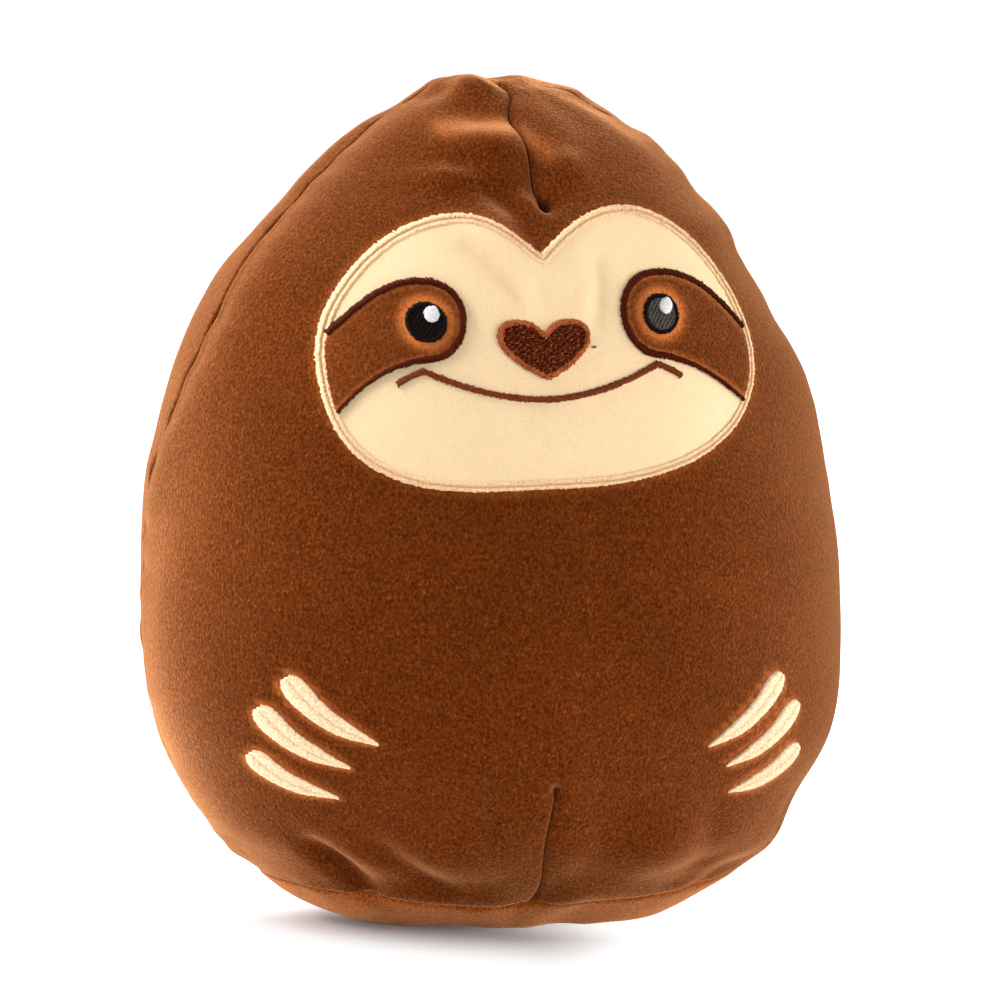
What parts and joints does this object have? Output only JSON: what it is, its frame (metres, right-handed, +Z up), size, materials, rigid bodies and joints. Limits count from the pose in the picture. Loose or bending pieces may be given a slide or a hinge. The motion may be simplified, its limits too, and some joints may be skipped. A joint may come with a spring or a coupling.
{
  "type": "egg-shaped plush sloth",
  "caption": "Egg-shaped stuffed plush sloth with sewn panels, crown and base darts, a pale face patch with embroidered eyes, nose and smile, and embroidered claws.",
  "frame": {"origin": "centre of the flat sole that the toy stands on, under the middle of its overall box", "axes": "+Z up from the sole to the crown, the face looks towards -Y, +X towards the right hand of someone who looks at the face"},
  "size_m": [0.1684, 0.1236, 0.1988],
  "materials": {
    "brown_plush": "short-pile plush with a soft sheen",
    "cream_plush": "short smooth plush",
    "cream_satin": "glossy satin-stitch thread",
    "dark_thread": "dark brown embroidery thread",
    "rust_thread": "rust brown embroidery thread",
    "black_thread": "black embroidery thread",
    "white_thread": "white embroidery thread",
    "backing_cloth": "non-woven stiffener",
    "fibre_fill": "loose polyester fibre"
  },
  "bodies": {
    "root": {"fibre_filling": "fibre_fill", "front_panel": "brown_plush", "back_panel_left": "brown_plush", "back_panel_right": "brown_plush", "base_panel": "brown_plush", "face_backing": "backing_cloth", "face_patch": "cream_plush", "face_border": "cream_satin", "nose_fill": "dark_thread", "nose_edging": "rust_thread", "mouth_stitch": "rust_thread", "eye_patch_left": "brown_plush", "eye_patch_right": "brown_plush", "eye_edging_left": "dark_thread", "eye_edging_right": "dark_thread", "eye_left": "black_thread", "eye_right": "black_thread", "eye_highlight_left": "white_thread", "eye_highlight_right": "white_thread", "claw_backing_left": "backing_cloth", "claw_backing_right": "backing_cloth", "claw_left_1": "cream_satin", "claw_left_2": "cream_satin", "claw_left_3": "cream_satin", "claw_right_1": "cream_satin", "claw_right_2": "cream_satin", "claw_right_3": "cream_satin"}
  },
  "joints": []
}
